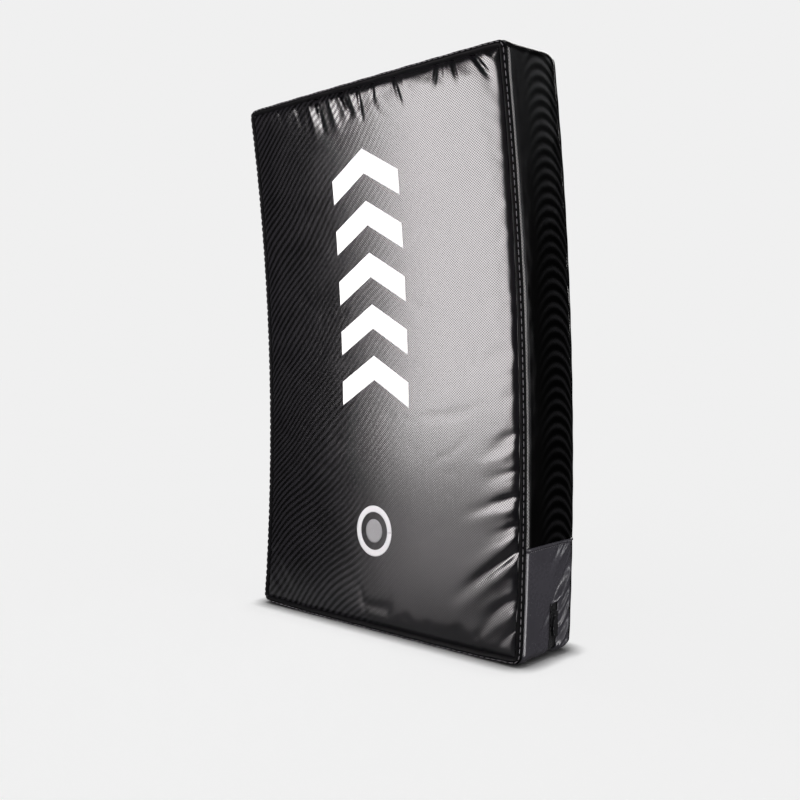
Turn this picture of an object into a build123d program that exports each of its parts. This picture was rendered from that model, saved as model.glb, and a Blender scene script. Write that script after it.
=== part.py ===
from build123d import *
from math import asin, cos, sin, sqrt
import os

# A curved kick shield: a laminated foam block in a zipped cover, with forearm straps behind.
# Millimetres. +Z up, +X across the shield, the strike face looks towards -Y.
# The origin is on the floor, under the middle of the whole object.
# "Inset" is a distance in from the outer skin of the bindings, on any side.
# "Depth" is a distance back from the strike face, square to it.

# Shield
HEIGHT = 700.0
WIDTH = 465.0
THICKNESS = 96.5
SAG = 21.0
TOP_CORNER = 10.0
BOTTOM_CORNER = 10.0
EDGE_ROLL = 2.4
FIT = 0.1

# Cover
BINDING = 1.8
BINDING_REACH = 9.0
COVER = 1.6
PANEL_WRAP = 5.0
BOXING_SEAM_Z = 130.0

# Foam layers
STRIKE_FOAM_DEPTH = 25.0
MIDDLE_FOAM_DEPTH = 75.0
FOAM_EDGE = 4.0
FOAM_EASE = 1.0

# Zipper
ZIP_DEPTH = 60.5
ZIP_LANE = 14.0
ZIP_LANE_TOP = 60.0
TAPE = 0.8
TAPE_HALF = 13.5
COIL = 1.4
COIL_OUTER = 3.6
NECK_ROOM = 0.6
ZIP_CHANNEL = 2.4
ZIP_CHANNEL_EASE = 1.0
STOP_LENGTH = 3.0

# Slider and pull
SLIDER_Z = 43.0
SLIDER_LENGTH = 18.0
SLIDER_WIDTH = 13.0
SLIDER_CORNER = 3.0
SLIDER_PLATE = 1.6
SLIDER_RAIL = 0.9
RAIL_ROOM = 0.3
UNDER_PLATE = 1.0
UNDER_PLATE_WIDTH = 11.0
NECK = 1.0
NECK_LENGTH = 5.0
BAIL_INSIDE = 5.4
BAIL_POST = 1.0
BAIL_POST_LENGTH = 2.0
BAIL_BAR = 0.8
BAIL_RISE = 2.0
PULL_EYE_HOLE = 0.9
PULL_EYE = 1.8
PULL_EYE_WIDTH = 5.0
PULL_NECK_LENGTH = 5.0
PULL_WIDTH = 7.5
PULL_LENGTH = 24.0
PULL_THICKNESS = 1.6
PULL_CORNER = 1.9

# Handles on the back: name, height of the middle, half span, clear rise, webbing width
HANDLES = [
    ("lower_strap", 260.0, 105.0, 52.0, 50.0),
    ("upper_strap", 415.0, 105.0, 52.0, 50.0),
    ("grip_handle", 570.0, 62.0, 40.0, 38.0),
]
WEBBING = 2.4
SLEEVE = 11.0
SLEEVE_MARGIN = 5.0
SLEEVE_SPAN = 0.62
PATCH = 2.0
PATCH_LENGTH = 46.0
PATCH_MARGIN = 8.0
PATCH_CORNER = 6.0
TONGUE = 34.0

# Printed marks on the strike panel
FILM = 0.3
MARK_X = -8.0
CHEVRON_COUNT = 5
CHEVRON_BOTTOM = 285.0
CHEVRON_PITCH = 66.0
CHEVRON_WIDTH = 122.0
CHEVRON_RISE = 34.0
CHEVRON_STROKE = 31.0
ROUNDEL_Z = 126.0
ROUNDEL_RADIUS = 32.0
ROUNDEL_RING = 8.0
ROUNDEL_DISC = 15.0

# Insets of the cover's layers, from the outside in
COVER_OUT = BINDING + FIT
COVER_IN = COVER_OUT + COVER
TAPE_OUT = COVER_IN + FIT
TAPE_IN = TAPE_OUT + TAPE
CORE_INSET = TAPE_IN + FOAM_EASE
COIL_IN = TAPE_OUT - FIT
COIL_OUT = COIL_IN - COIL

# The face is an arc, hollow towards the front, about a level axis
MIDDLE_Z = HEIGHT / 2
FACE_RADIUS = (MIDDLE_Z ** 2 + SAG ** 2) / (2 * SAG)
TALLEST_RISE = max(handle[3] for handle in HANDLES)
REAR_REACH = PATCH + TALLEST_RISE + WEBBING / 2 + SLEEVE / 2
FRONT_Y = -(SAG + THICKNESS + REAR_REACH) / 2
CENTRE_Y = FRONT_Y + SAG - FACE_RADIUS
FAR = 2 * WIDTH
BEYOND = 100.0


def arc_point(depth, z):
    """The point of the mid-plane at a depth behind the strike face and a height."""
    return CENTRE_Y + sqrt((FACE_RADIUS + depth) ** 2 - (z - MIDDLE_Z) ** 2), z


def slab(near, far, low=-BEYOND, high=HEIGHT + BEYOND):
    """All that lies between two depths and two heights, across the whole width."""
    middle = (low + high) / 2
    with BuildPart() as layer:
        with BuildSketch(Plane.YZ):
            with BuildLine():
                ThreePointArc(*(arc_point(near, z) for z in (low, middle, high)))
                ThreePointArc(*(arc_point(far, z) for z in (low, middle, high)))
                Line(arc_point(near, low), arc_point(far, low))
                Line(arc_point(near, high), arc_point(far, high))
            make_face()
        extrude(amount=WIDTH, both=True)
    return layer.part


def prism(inset):
    """The shield's front outline, shrunk by an inset and drawn out through its depth."""
    with BuildPart() as column:
        with BuildSketch(Plane.XZ) as outline:
            with Locations((0, MIDDLE_Z)):
                Rectangle(WIDTH - 2 * inset, HEIGHT - 2 * inset)
            fillet(outline.vertices().group_by(Axis.Y)[-1], TOP_CORNER - inset)
            fillet(outline.vertices().group_by(Axis.Y)[0], BOTTOM_CORNER - inset)
        extrude(amount=FAR, both=True)
    return column.part


def block(inset):
    """The whole shield, shrunk by an inset on every side."""
    column = prism(inset)
    layer = slab(inset, THICKNESS - inset)
    with BuildPart() as solid:
        add(column)
        add(layer, mode=Mode.INTERSECT)
    return solid.part


def surface_plane(depth, z):
    """A plane at a depth and height: local x across, local y out of the back, normal upwards."""
    lean = asin((z - MIDDLE_Z) / (FACE_RADIUS + depth))
    y, z = arc_point(depth, z)
    return Plane(origin=(0, y, z), x_dir=(1, 0, 0), z_dir=(0, -sin(lean), cos(lean)))


def finish(piece, label):
    """Name a finished piece and write its STEP file."""
    piece.part.label = label
    export_step(piece.part, f"parts/{label}.step")


os.makedirs("parts", exist_ok=True)

outer = block(0)
under_binding = block(BINDING)
cover_outside = block(COVER_OUT)
cover_inside = block(COVER_IN)
core_block = block(CORE_INSET)
window = prism(BINDING_REACH)
coil_outside = prism(COIL_OUT)
coil_inside = prism(COIL_IN)
tape_outside = prism(TAPE_OUT)
tape_inside = prism(TAPE_IN)
channel_outside = prism(CORE_INSET - FOAM_EASE)
channel_inside = prism(CORE_INSET + ZIP_CHANNEL)

# ---------------------------------------------------------------- foam core
core_strike_zone = slab(0, STRIKE_FOAM_DEPTH - FIT)
core_middle_zone = slab(STRIKE_FOAM_DEPTH, MIDDLE_FOAM_DEPTH)
core_back_zone = slab(MIDDLE_FOAM_DEPTH + FIT, THICKNESS)
channel_zone = slab(
    ZIP_DEPTH - SLIDER_WIDTH / 2 - ZIP_CHANNEL_EASE,
    ZIP_DEPTH + SLIDER_WIDTH / 2 + ZIP_CHANNEL_EASE,
    high=ZIP_LANE_TOP + STOP_LENGTH,
)

with BuildPart() as core_strike_layer:
    add(core_block)
    add(core_strike_zone, mode=Mode.INTERSECT)
    fillet(core_strike_layer.faces().sort_by(Axis.Y)[0].edges(), FOAM_EDGE)
finish(core_strike_layer, "core_strike_layer")

with BuildPart() as zip_channel:
    add(channel_outside)
    add(channel_inside, mode=Mode.SUBTRACT)
    add(channel_zone, mode=Mode.INTERSECT)

with BuildPart() as core_middle_layer:
    add(core_block)
    add(core_middle_zone, mode=Mode.INTERSECT)
    add(zip_channel.part, mode=Mode.SUBTRACT)
finish(core_middle_layer, "core_middle_layer")

with BuildPart() as core_back_layer:
    add(core_block)
    add(core_back_zone, mode=Mode.INTERSECT)
    fillet(core_back_layer.faces().sort_by(Axis.Y)[-1].edges(), FOAM_EDGE)
finish(core_back_layer, "core_back_layer")

# ---------------------------------------------------------------- cover panels
PANEL_DEPTHS = {
    "front_panel": (-COVER, PANEL_WRAP),
    "back_panel": (THICKNESS - PANEL_WRAP, THICKNESS + COVER),
}
for panel_name, (panel_near, panel_far) in PANEL_DEPTHS.items():
    panel_zone = slab(panel_near, panel_far)
    with BuildPart() as panel:
        add(cover_outside)
        add(cover_inside, mode=Mode.SUBTRACT)
        add(panel_zone, mode=Mode.INTERSECT)
    finish(panel, panel_name)

BOXING_NEAR = PANEL_WRAP + FIT
BOXING_FAR = THICKNESS - PANEL_WRAP - FIT
upper_zone = slab(BOXING_NEAR, BOXING_FAR, low=BOXING_SEAM_Z + FIT)
lower_zone = slab(BOXING_NEAR, BOXING_FAR, high=BOXING_SEAM_Z)
lane_zone = slab(ZIP_DEPTH - ZIP_LANE / 2, ZIP_DEPTH + ZIP_LANE / 2, high=ZIP_LANE_TOP)

with BuildPart() as upper_boxing:
    add(cover_outside)
    add(cover_inside, mode=Mode.SUBTRACT)
    add(upper_zone, mode=Mode.INTERSECT)
finish(upper_boxing, "upper_boxing")

with BuildPart() as lower_boxing:
    add(cover_outside)
    add(cover_inside, mode=Mode.SUBTRACT)
    add(lower_zone, mode=Mode.INTERSECT)
    add(lane_zone, mode=Mode.SUBTRACT)
finish(lower_boxing, "lower_boxing")

# ---------------------------------------------------------------- bindings
BINDING_DEPTHS = {
    "front_binding": (-BINDING, BINDING_REACH, 0),
    "back_binding": (THICKNESS - BINDING_REACH, THICKNESS + BINDING, -1),
}
for binding_name, (binding_near, binding_far, rim) in BINDING_DEPTHS.items():
    binding_zone = slab(binding_near, binding_far)
    with BuildPart() as binding:
        add(outer)
        add(binding_zone, mode=Mode.INTERSECT)
        fillet(binding.faces().sort_by(Axis.Y)[rim].edges(), EDGE_ROLL)
        add(under_binding, mode=Mode.SUBTRACT)
        add(window, mode=Mode.SUBTRACT)
    finish(binding, binding_name)

# ---------------------------------------------------------------- zipper
SIDES = {"front": -1, "back": 1}
for side_name, side in SIDES.items():
    inner_edge = ZIP_DEPTH + side * NECK_ROOM
    tape_edge = ZIP_DEPTH + side * TAPE_HALF
    coil_edge = ZIP_DEPTH + side * COIL_OUTER
    tape_zone = slab(*sorted((inner_edge, tape_edge)), high=ZIP_LANE_TOP + STOP_LENGTH)
    coil_zone = slab(*sorted((inner_edge, coil_edge)), high=ZIP_LANE_TOP - STOP_LENGTH)
    with BuildPart() as tape:
        add(tape_outside)
        add(tape_inside, mode=Mode.SUBTRACT)
        add(tape_zone, mode=Mode.INTERSECT)
    finish(tape, f"zipper_tape_{side_name}")
    with BuildPart() as coil:
        add(coil_outside)
        add(coil_inside, mode=Mode.SUBTRACT)
        add(coil_zone, mode=Mode.INTERSECT)
    finish(coil, f"zipper_coil_{side_name}")

stop_zone = slab(
    ZIP_DEPTH - COIL_OUTER,
    ZIP_DEPTH + COIL_OUTER,
    low=ZIP_LANE_TOP - STOP_LENGTH + FIT,
    high=ZIP_LANE_TOP - FIT,
)
STOP_SIDES = {"left": Align.MAX, "right": Align.MIN}
for stop_name, stop_align in STOP_SIDES.items():
    stop_half = Box(WIDTH, FAR, HEIGHT, align=(stop_align, Align.CENTER, Align.MIN))
    with BuildPart() as stop:
        add(coil_outside)
        add(coil_inside, mode=Mode.SUBTRACT)
        add(stop_zone, mode=Mode.INTERSECT)
        add(stop_half, mode=Mode.INTERSECT)
    finish(stop, f"zipper_stop_{stop_name}")

# ---------------------------------------------------------------- slider and pull
# Side plane at the outer skin: local x across the lane (backwards), local y up along it.
slider_lean = asin((SLIDER_Z - MIDDLE_Z) / (FACE_RADIUS + ZIP_DEPTH))
slider_y, _ = arc_point(ZIP_DEPTH, SLIDER_Z)
side_plane = Plane(
    origin=(WIDTH / 2, slider_y, SLIDER_Z),
    x_dir=(0, cos(slider_lean), sin(slider_lean)),
    z_dir=(1, 0, 0),
)
PLATE_BOTTOM = -(COVER_OUT - 2 * FIT)
PLATE_TOP = PLATE_BOTTOM + SLIDER_PLATE
BAR_LEVEL = PLATE_TOP + BAIL_RISE
RAIL_X = COIL_OUTER + RAIL_ROOM + SLIDER_RAIL / 2
RAIL_BOTTOM = -(COIL_IN - FIT)
UNDER_TOP = -TAPE_IN - FIT
BAIL_Y = SLIDER_LENGTH / 2 - NECK_LENGTH

with BuildPart() as zipper_slider:
    with BuildSketch(side_plane.offset(PLATE_BOTTOM)):
        RectangleRounded(SLIDER_WIDTH, SLIDER_LENGTH, SLIDER_CORNER)
    extrude(amount=SLIDER_PLATE)
    with BuildSketch(side_plane.offset(PLATE_BOTTOM)):
        with Locations((-RAIL_X, 0), (RAIL_X, 0)):
            Rectangle(SLIDER_RAIL, SLIDER_LENGTH - 2 * SLIDER_CORNER)
    extrude(amount=RAIL_BOTTOM - PLATE_BOTTOM)
    with BuildSketch(side_plane.offset(PLATE_BOTTOM)):
        with Locations((0, SLIDER_LENGTH / 2 - NECK_LENGTH / 2)):
            Rectangle(NECK, NECK_LENGTH)
    extrude(amount=UNDER_TOP - PLATE_BOTTOM)
    with BuildSketch(side_plane.offset(UNDER_TOP)):
        RectangleRounded(UNDER_PLATE_WIDTH, SLIDER_LENGTH, SLIDER_CORNER)
    extrude(amount=-UNDER_PLATE)
    with BuildSketch(side_plane.offset(PLATE_TOP)):
        post_x = BAIL_INSIDE / 2 + BAIL_POST / 2
        with Locations((-post_x, BAIL_Y), (post_x, BAIL_Y)):
            Rectangle(BAIL_POST, BAIL_POST_LENGTH)
    extrude(amount=BAIL_RISE + BAIL_BAR)
    bail_origin = side_plane.from_local_coords(Vector(0, BAIL_Y, BAR_LEVEL))
    with BuildSketch(Plane(origin=bail_origin, x_dir=side_plane.y_dir, z_dir=side_plane.x_dir)):
        Circle(BAIL_BAR)
    extrude(amount=BAIL_INSIDE / 2 + BAIL_POST, both=True)
finish(zipper_slider, "zipper_slider")

with BuildPart() as zipper_pull:
    with BuildSketch(Plane(origin=bail_origin, x_dir=side_plane.y_dir, z_dir=side_plane.x_dir)):
        Circle(PULL_EYE)
    extrude(amount=PULL_EYE_WIDTH / 2, both=True)
    with BuildSketch(side_plane.offset(BAR_LEVEL - PULL_THICKNESS / 2)) as tab:
        with Locations((0, BAIL_Y)):
            Rectangle(PULL_EYE_WIDTH, PULL_NECK_LENGTH + FIT, align=(Align.CENTER, Align.MAX))
        with Locations((0, BAIL_Y - PULL_NECK_LENGTH)):
            Rectangle(PULL_WIDTH, PULL_LENGTH - PULL_NECK_LENGTH, align=(Align.CENTER, Align.MAX))
        fillet(tab.vertices().group_by(Axis.Y)[0], PULL_CORNER)
    extrude(amount=PULL_THICKNESS)
    with BuildSketch(Plane(origin=bail_origin, x_dir=side_plane.y_dir, z_dir=side_plane.x_dir)):
        Circle(PULL_EYE_HOLE)
    extrude(amount=PULL_EYE_WIDTH, both=True, mode=Mode.SUBTRACT)
finish(zipper_pull, "zipper_pull")

# ---------------------------------------------------------------- handles on the back
PATCH_LEVEL = FIT
WEB_LEVEL = PATCH_LEVEL + PATCH + FIT
BACK_DEPTH = THICKNESS - COVER_OUT

for handle_name, handle_z, half_span, rise, web_width in HANDLES:
    handle_plane = surface_plane(BACK_DEPTH, handle_z)
    bow_radius = (half_span ** 2 + rise ** 2) / (2 * rise)
    bow_centre = WEB_LEVEL + WEBBING / 2 + rise - bow_radius
    with BuildPart() as webbing:
        with BuildSketch(handle_plane):
            with Locations((0, bow_centre)):
                Circle(bow_radius + WEBBING / 2)
                Circle(bow_radius - WEBBING / 2, mode=Mode.SUBTRACT)
            with Locations((0, WEB_LEVEL)):
                Rectangle(FAR, FAR, align=(Align.CENTER, Align.MIN), mode=Mode.INTERSECT)
            with Locations((half_span, WEB_LEVEL)):
                Rectangle(TONGUE, WEBBING, align=(Align.MIN, Align.MIN))
            with Locations((-half_span, WEB_LEVEL)):
                Rectangle(TONGUE, WEBBING, align=(Align.MAX, Align.MIN))
        extrude(amount=web_width / 2, both=True)
    finish(webbing, f"{handle_name}_webbing")

    with BuildPart() as sleeve:
        with BuildSketch(handle_plane):
            with Locations((0, bow_centre)):
                Circle(bow_radius + SLEEVE / 2)
                Circle(bow_radius - SLEEVE / 2, mode=Mode.SUBTRACT)
            with Locations((0, WEB_LEVEL)):
                Rectangle(
                    2 * SLEEVE_SPAN * half_span,
                    FAR,
                    align=(Align.CENTER, Align.MIN),
                    mode=Mode.INTERSECT,
                )
        extrude(amount=web_width / 2 + SLEEVE_MARGIN, both=True)
        with BuildSketch(handle_plane):
            with Locations((0, bow_centre)):
                Circle(bow_radius + WEBBING / 2 + FIT)
                Circle(bow_radius - WEBBING / 2 - FIT, mode=Mode.SUBTRACT)
        extrude(amount=web_width / 2 + FIT, both=True, mode=Mode.SUBTRACT)
    finish(sleeve, f"{handle_name}_sleeve")

    for end_name, end in (("left", -1), ("right", 1)):
        patch_x = end * (half_span + TONGUE / 2)
        with BuildPart() as patch:
            with BuildSketch(handle_plane):
                with Locations((patch_x, PATCH_LEVEL)):
                    Rectangle(PATCH_LENGTH, PATCH, align=(Align.CENTER, Align.MIN))
            extrude(amount=web_width / 2 + PATCH_MARGIN, both=True)
            fillet(patch.edges().filter_by(Axis(handle_plane.origin, handle_plane.y_dir)), PATCH_CORNER)
        finish(patch, f"{handle_name}_patch_{end_name}")

# ---------------------------------------------------------------- printed marks
film_zone = slab(COVER_OUT - FIT - FILM, COVER_OUT - FIT)

with BuildPart() as chevrons:
    for index in range(CHEVRON_COUNT):
        foot = CHEVRON_BOTTOM + index * CHEVRON_PITCH
        with BuildSketch(Plane.XZ):
            with BuildLine():
                Polyline(
                    (MARK_X - CHEVRON_WIDTH / 2, foot),
                    (MARK_X, foot + CHEVRON_RISE),
                    (MARK_X + CHEVRON_WIDTH / 2, foot),
                    (MARK_X + CHEVRON_WIDTH / 2, foot + CHEVRON_STROKE),
                    (MARK_X, foot + CHEVRON_RISE + CHEVRON_STROKE),
                    (MARK_X - CHEVRON_WIDTH / 2, foot + CHEVRON_STROKE),
                    close=True,
                )
            make_face()
        extrude(amount=FAR, both=True)
    add(film_zone, mode=Mode.INTERSECT)
finish(chevrons, "mark_chevrons")

ROUNDEL_BANDS = {
    "mark_roundel_ring": (ROUNDEL_RADIUS, ROUNDEL_RADIUS - ROUNDEL_RING),
    "mark_roundel_disc": (ROUNDEL_DISC, 0),
}
for mark_name, (outside_radius, inside_radius) in ROUNDEL_BANDS.items():
    with BuildPart() as mark:
        with BuildSketch(Plane.XZ):
            with Locations((MARK_X, ROUNDEL_Z)):
                Circle(outside_radius)
                if inside_radius:
                    Circle(inside_radius, mode=Mode.SUBTRACT)
        extrude(amount=FAR, both=True)
        add(film_zone, mode=Mode.INTERSECT)
    finish(mark, mark_name)
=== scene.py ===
import math

import bmesh
import bpy
import numpy as np
from mathutils import Matrix, Vector


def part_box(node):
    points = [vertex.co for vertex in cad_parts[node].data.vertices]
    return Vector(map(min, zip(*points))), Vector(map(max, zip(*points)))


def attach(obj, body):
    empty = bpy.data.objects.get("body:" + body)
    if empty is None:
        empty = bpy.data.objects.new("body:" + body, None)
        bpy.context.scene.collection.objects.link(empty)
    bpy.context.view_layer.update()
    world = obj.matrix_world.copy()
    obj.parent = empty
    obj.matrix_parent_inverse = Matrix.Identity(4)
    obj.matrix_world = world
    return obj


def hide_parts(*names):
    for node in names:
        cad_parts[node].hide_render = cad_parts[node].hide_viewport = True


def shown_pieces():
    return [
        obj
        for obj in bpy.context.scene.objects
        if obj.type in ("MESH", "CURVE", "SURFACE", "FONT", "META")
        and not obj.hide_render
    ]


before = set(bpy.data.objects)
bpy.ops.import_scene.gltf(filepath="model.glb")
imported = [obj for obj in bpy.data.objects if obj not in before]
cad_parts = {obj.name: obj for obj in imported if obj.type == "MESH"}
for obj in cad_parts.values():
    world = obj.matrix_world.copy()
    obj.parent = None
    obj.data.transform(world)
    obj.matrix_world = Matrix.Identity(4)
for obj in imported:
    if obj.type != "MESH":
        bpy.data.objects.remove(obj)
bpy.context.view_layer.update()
SCENE = bpy.context.scene

# ------------------------------------------------------------------ sizes, from the frame
MM = 0.001
WIDTH = 2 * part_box("front_binding")[1][0]
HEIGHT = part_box("front_binding")[1][2]
HALF_WIDTH = WIDTH / 2
FRONT_Y = -89.1 * MM
SAG = 21.0 * MM
THICKNESS = 96.5 * MM
TOP_CORNER = 10.0 * MM
BOTTOM_CORNER = 10.0 * MM
MIDDLE_Z = HEIGHT / 2
FACE_RADIUS = (MIDDLE_Z ** 2 + SAG ** 2) / (2 * SAG)
CENTRE_Y = FRONT_Y + SAG - FACE_RADIUS
SEAM_Z = 0.5 * (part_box("upper_boxing")[0][2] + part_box("lower_boxing")[1][2])
ZIP_DEPTH = 60.5 * MM
LANE = 14.0 * MM
LANE_TOP = 60.0 * MM
# Each edge band: radius of its roll, reach over the face, reach over the side, where its stitches run, and
# how far it sits in from the outside
FRONT_BAND = (4.6 * MM, 8.4 * MM, 5.8 * MM, 0.55, -0.2 * MM)
BACK_BAND = (2.8 * MM, 9.5 * MM, 2.8 * MM, 0.42, 2.0 * MM)

# ------------------------------------------------------------------ camera
CAMERA_PLACE = (0.9548, FRONT_Y - 0.8920, 0.3700)
CAMERA_YAW = math.radians(45.16)
CAMERA_PITCH = math.radians(-0.78)
CAMERA_ROLL = math.radians(1.58)
CAMERA_LENS = 46.44
CAMERA_SHIFT_Y = -0.0581


def make_camera():
    data = bpy.data.cameras.new("camera")
    data.sensor_width = 36.0
    data.lens = CAMERA_LENS
    data.shift_y = CAMERA_SHIFT_Y
    data.clip_end = 50.0
    camera = bpy.data.objects.new("camera", data)
    SCENE.collection.objects.link(camera)
    level = Matrix.Rotation(math.pi / 2, 4, "X")
    turn = (
        Matrix.Rotation(CAMERA_YAW, 4, "Z")
        @ Matrix.Rotation(CAMERA_PITCH, 4, "X")
        @ Matrix.Rotation(CAMERA_ROLL, 4, "Y")
    )
    camera.matrix_world = Matrix.Translation(CAMERA_PLACE) @ turn @ level
    SCENE.camera = camera


make_camera()


# ------------------------------------------------------------------ the shield's own coordinates
def face_y(z, depth=0.0):
    """Y of the surface at a depth behind the strike face, at a height."""
    return CENTRE_Y + np.sqrt((FACE_RADIUS + depth) ** 2 - (z - MIDDLE_Z) ** 2)


def outline_parts():
    """The front outline, anticlockwise from its bottom middle: (length, start or centre, heading, radius)."""
    low_x, high_x = HALF_WIDTH - BOTTOM_CORNER, HALF_WIDTH - TOP_CORNER
    top_z = HEIGHT - TOP_CORNER
    turn = math.pi / 2
    side = top_z - BOTTOM_CORNER
    return [
        (low_x, (0, 0), 0, 0),
        (turn * BOTTOM_CORNER, (low_x, BOTTOM_CORNER), 0, BOTTOM_CORNER),
        (side, (HALF_WIDTH, BOTTOM_CORNER), turn, 0),
        (turn * TOP_CORNER, (high_x, top_z), turn, TOP_CORNER),
        (2 * high_x, (high_x, HEIGHT), 2 * turn, 0),
        (turn * TOP_CORNER, (-high_x, top_z), 2 * turn, TOP_CORNER),
        (side, (-HALF_WIDTH, top_z), 3 * turn, 0),
        (turn * BOTTOM_CORNER, (-low_x, BOTTOM_CORNER), 3 * turn, BOTTOM_CORNER),
        (low_x, (-low_x, 0), 0, 0),
    ]


OUTLINE = outline_parts()
OUTLINE_LENGTH = sum(part[0] for part in OUTLINE)
SIDE_START = OUTLINE[0][0] + OUTLINE[1][0]
LEFT_SIDE_START = sum(part[0] for part in OUTLINE[:6])
RIGHT_SEAM = SIDE_START + SEAM_Z - BOTTOM_CORNER
LEFT_SEAM = LEFT_SIDE_START + (HEIGHT - TOP_CORNER - SEAM_Z)


def walk(s):
    """Points (x, z) on the outline and outward directions there, at lengths s along it."""
    s = np.mod(np.asarray(s, float), OUTLINE_LENGTH)
    point, out = np.zeros(s.shape + (2,)), np.zeros(s.shape + (2,))
    start = 0.0
    for length, (x, z), heading, radius in OUTLINE:
        here = (s >= start) & (s <= start + length)
        t = s[here] - start
        angle = heading + (t / radius if radius else 0 * t)
        normal = np.stack([np.sin(angle), -np.cos(angle)], axis=-1)
        if radius:
            point[here] = np.array([x, z]) + radius * normal
        else:
            along = np.array([math.cos(heading), math.sin(heading)])
            point[here] = np.array([x, z]) + t[:, None] * along
        out[here] = normal
        start += length
    return point, out


CORNER_LIFT = 4.0 * MM
CORNER_LIFT_REACH = 22.0 * MM
CORNER_DROP = 0.8 * MM
CORNER_DROP_REACH = 60.0 * MM
CORNER_POWER = 5
BEHIND_POWER = 5
BACK_CORNER_DROP = 1.6 * MM
BACK_CORNER_REACH = 9.0 * MM


def bell(x):
    """1 at x = 0, fading smoothly to 0 on both sides."""
    return np.exp(-(x ** 2))


def slump(points):
    """Corners pulled in by their seams: the bottom ones up, the top ones down, the far ones the most."""
    points = np.array(points, float)
    across = np.clip(np.abs(points[..., 0]) / HALF_WIDTH, 0, 1.05) ** CORNER_POWER
    z = points[..., 2]
    behind = np.clip((points[..., 1] - face_y(z)) / THICKNESS, 0, 1) ** BEHIND_POWER
    at_top = BACK_CORNER_DROP * across * behind * bell((HEIGHT - z) / BACK_CORNER_REACH)
    lift = CORNER_LIFT * across * bell(z / CORNER_LIFT_REACH)
    drop = CORNER_DROP * across * bell((HEIGHT - z) / CORNER_DROP_REACH)
    points[..., 1] -= at_top
    points[..., 2] = np.maximum(0, z + lift - drop - at_top)
    return points


def skin(s, inset, depth):
    """Points at lengths s along the outline, an inset in from it and a depth behind the strike face."""
    point, out = walk(s)
    inset = np.asarray(inset, float)
    x = point[..., 0] - inset * out[..., 0]
    z = point[..., 1] - inset * out[..., 1]
    return slump(np.stack([x, face_y(z, depth), z], axis=-1))


# ------------------------------------------------------------------ mesh tools
def quads(rows, columns, wrap_rows=False, wrap_columns=False):
    """Faces of a grid of rows by columns of vertices."""
    i = np.arange(rows if wrap_rows else rows - 1)
    j = np.arange(columns if wrap_columns else columns - 1)
    i, j = (a.ravel() for a in np.meshgrid(i, j, indexing="ij"))
    down, right = (i + 1) % rows, (j + 1) % columns
    corners = [i * columns + j, i * columns + right, down * columns + right, down * columns + j]
    return np.stack(corners, axis=1)


def new_object(name, data):
    """A new object in the scene."""
    obj = bpy.data.objects.new(name, data)
    SCENE.collection.objects.link(obj)
    return obj


def mesh_object(name, points, faces, uv=None, smooth=True):
    """A new object from points and faces, with one uv per point."""
    mesh = bpy.data.meshes.new(name)
    points = np.asarray(points, float).reshape(-1, 3)
    mesh.from_pydata(points.tolist(), [], faces if isinstance(faces, list) else faces.tolist())
    mesh.update()
    if uv is not None:
        layer = mesh.uv_layers.new(name="UVMap")
        corner = np.zeros(len(mesh.loops), np.int32)
        mesh.loops.foreach_get("vertex_index", corner)
        layer.data.foreach_set("uv", np.asarray(uv, np.float32).reshape(-1, 2)[corner].ravel())
    mesh.polygons.foreach_set("use_smooth", np.full(len(mesh.polygons), smooth))
    return new_object(name, mesh)


def join_copies(parts):
    """Many (points, faces) as one (points, faces)."""
    points, faces, count = [], [], 0
    for p, f in parts:
        points.append(p)
        faces.append(np.asarray(f) + count)
        count += len(p)
    return np.concatenate(points), np.concatenate(faces)


def thicken(obj, thickness):
    """Gives an open sheet its thickness, inwards, as real geometry."""
    mod = obj.modifiers.new("thickness", "SOLIDIFY")
    mod.thickness = thickness
    mod.offset = -1
    mod.use_even_offset = False
    apply_modifiers(obj)


def apply_modifiers(obj):
    """Makes an object's modifiers part of its mesh."""
    graph = bpy.context.evaluated_depsgraph_get()
    mesh = bpy.data.meshes.new_from_object(obj.evaluated_get(graph), depsgraph=graph)
    obj.modifiers.clear()
    old = obj.data
    obj.data = mesh
    bpy.data.meshes.remove(old)


def edit_mesh(obj, change):
    """Runs change(work) on an object's mesh, as a bmesh."""
    work = bmesh.new()
    work.from_mesh(obj.data)
    change(work)
    work.to_mesh(obj.data)
    work.free()


def drop_loose(work):
    """Removes points that no face uses."""
    bmesh.ops.delete(work, geom=[v for v in work.verts if not v.link_faces], context="VERTS")


def outward_faces(work):
    """Turns every face outwards."""
    bmesh.ops.recalc_face_normals(work, faces=work.faces)


def pin_rim(shape):
    """True on the outermost points of a grid."""
    pinned = np.zeros(shape, bool)
    pinned[:1], pinned[-1:], pinned[:, :1], pinned[:, -1:] = True, True, True, True
    return pinned


def spline_matrix(inside, outside):
    """Smooth weights that take `inside` evenly spaced values to `outside` ones over the same stretch."""
    t = np.linspace(0, inside - 1, outside)
    i = np.clip(np.floor(t).astype(int), 0, inside - 2)
    f = t - i
    weights = np.zeros((outside, inside))
    parts = [(1 - f) ** 3, 3 * f ** 3 - 6 * f ** 2 + 4, -3 * f ** 3 + 3 * f ** 2 + 3 * f + 1, f ** 3]
    rows = np.arange(outside)
    for k, w in enumerate(parts):
        np.add.at(weights, (rows, np.clip(i + k - 1, 0, inside - 1)), w / 6)
    return weights


def enlarge(field, rows, columns):
    """A field on a coarse grid, smoothly, on a finer grid over the same stretch."""
    a = spline_matrix(field.shape[0], rows)
    b = spline_matrix(field.shape[1], columns)
    return np.einsum("rjk,cj->rck", np.einsum("ri,ijk->rjk", a, field), b)


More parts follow.
